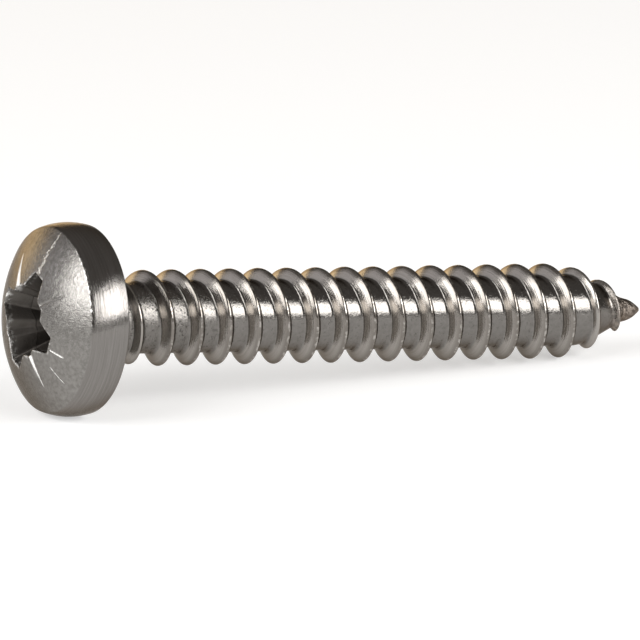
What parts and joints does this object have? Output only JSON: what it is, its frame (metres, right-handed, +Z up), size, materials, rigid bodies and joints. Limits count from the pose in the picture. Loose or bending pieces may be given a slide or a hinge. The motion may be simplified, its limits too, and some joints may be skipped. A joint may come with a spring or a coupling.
{
  "type": "sheet metal screw",
  "caption": "Pan head sheet metal screw with a cross recess, a spaced thread up to the head and a sharp cone point, lying at rest on its side.",
  "frame": {"origin": "centre of the flat face under the head, on the screw's axis", "axes": "the axis runs from the head to the point along +X and dips by 5.05 degrees, because the screw lies on its side; +Z is up"},
  "size_m": [0.0344, 0.0094, 0.0094],
  "materials": {
    "stainless_steel": "bright as cold formed and thread rolled, with fine tool marks"
  },
  "bodies": {
    "root": {"screw": "stainless_steel"}
  },
  "joints": []
}
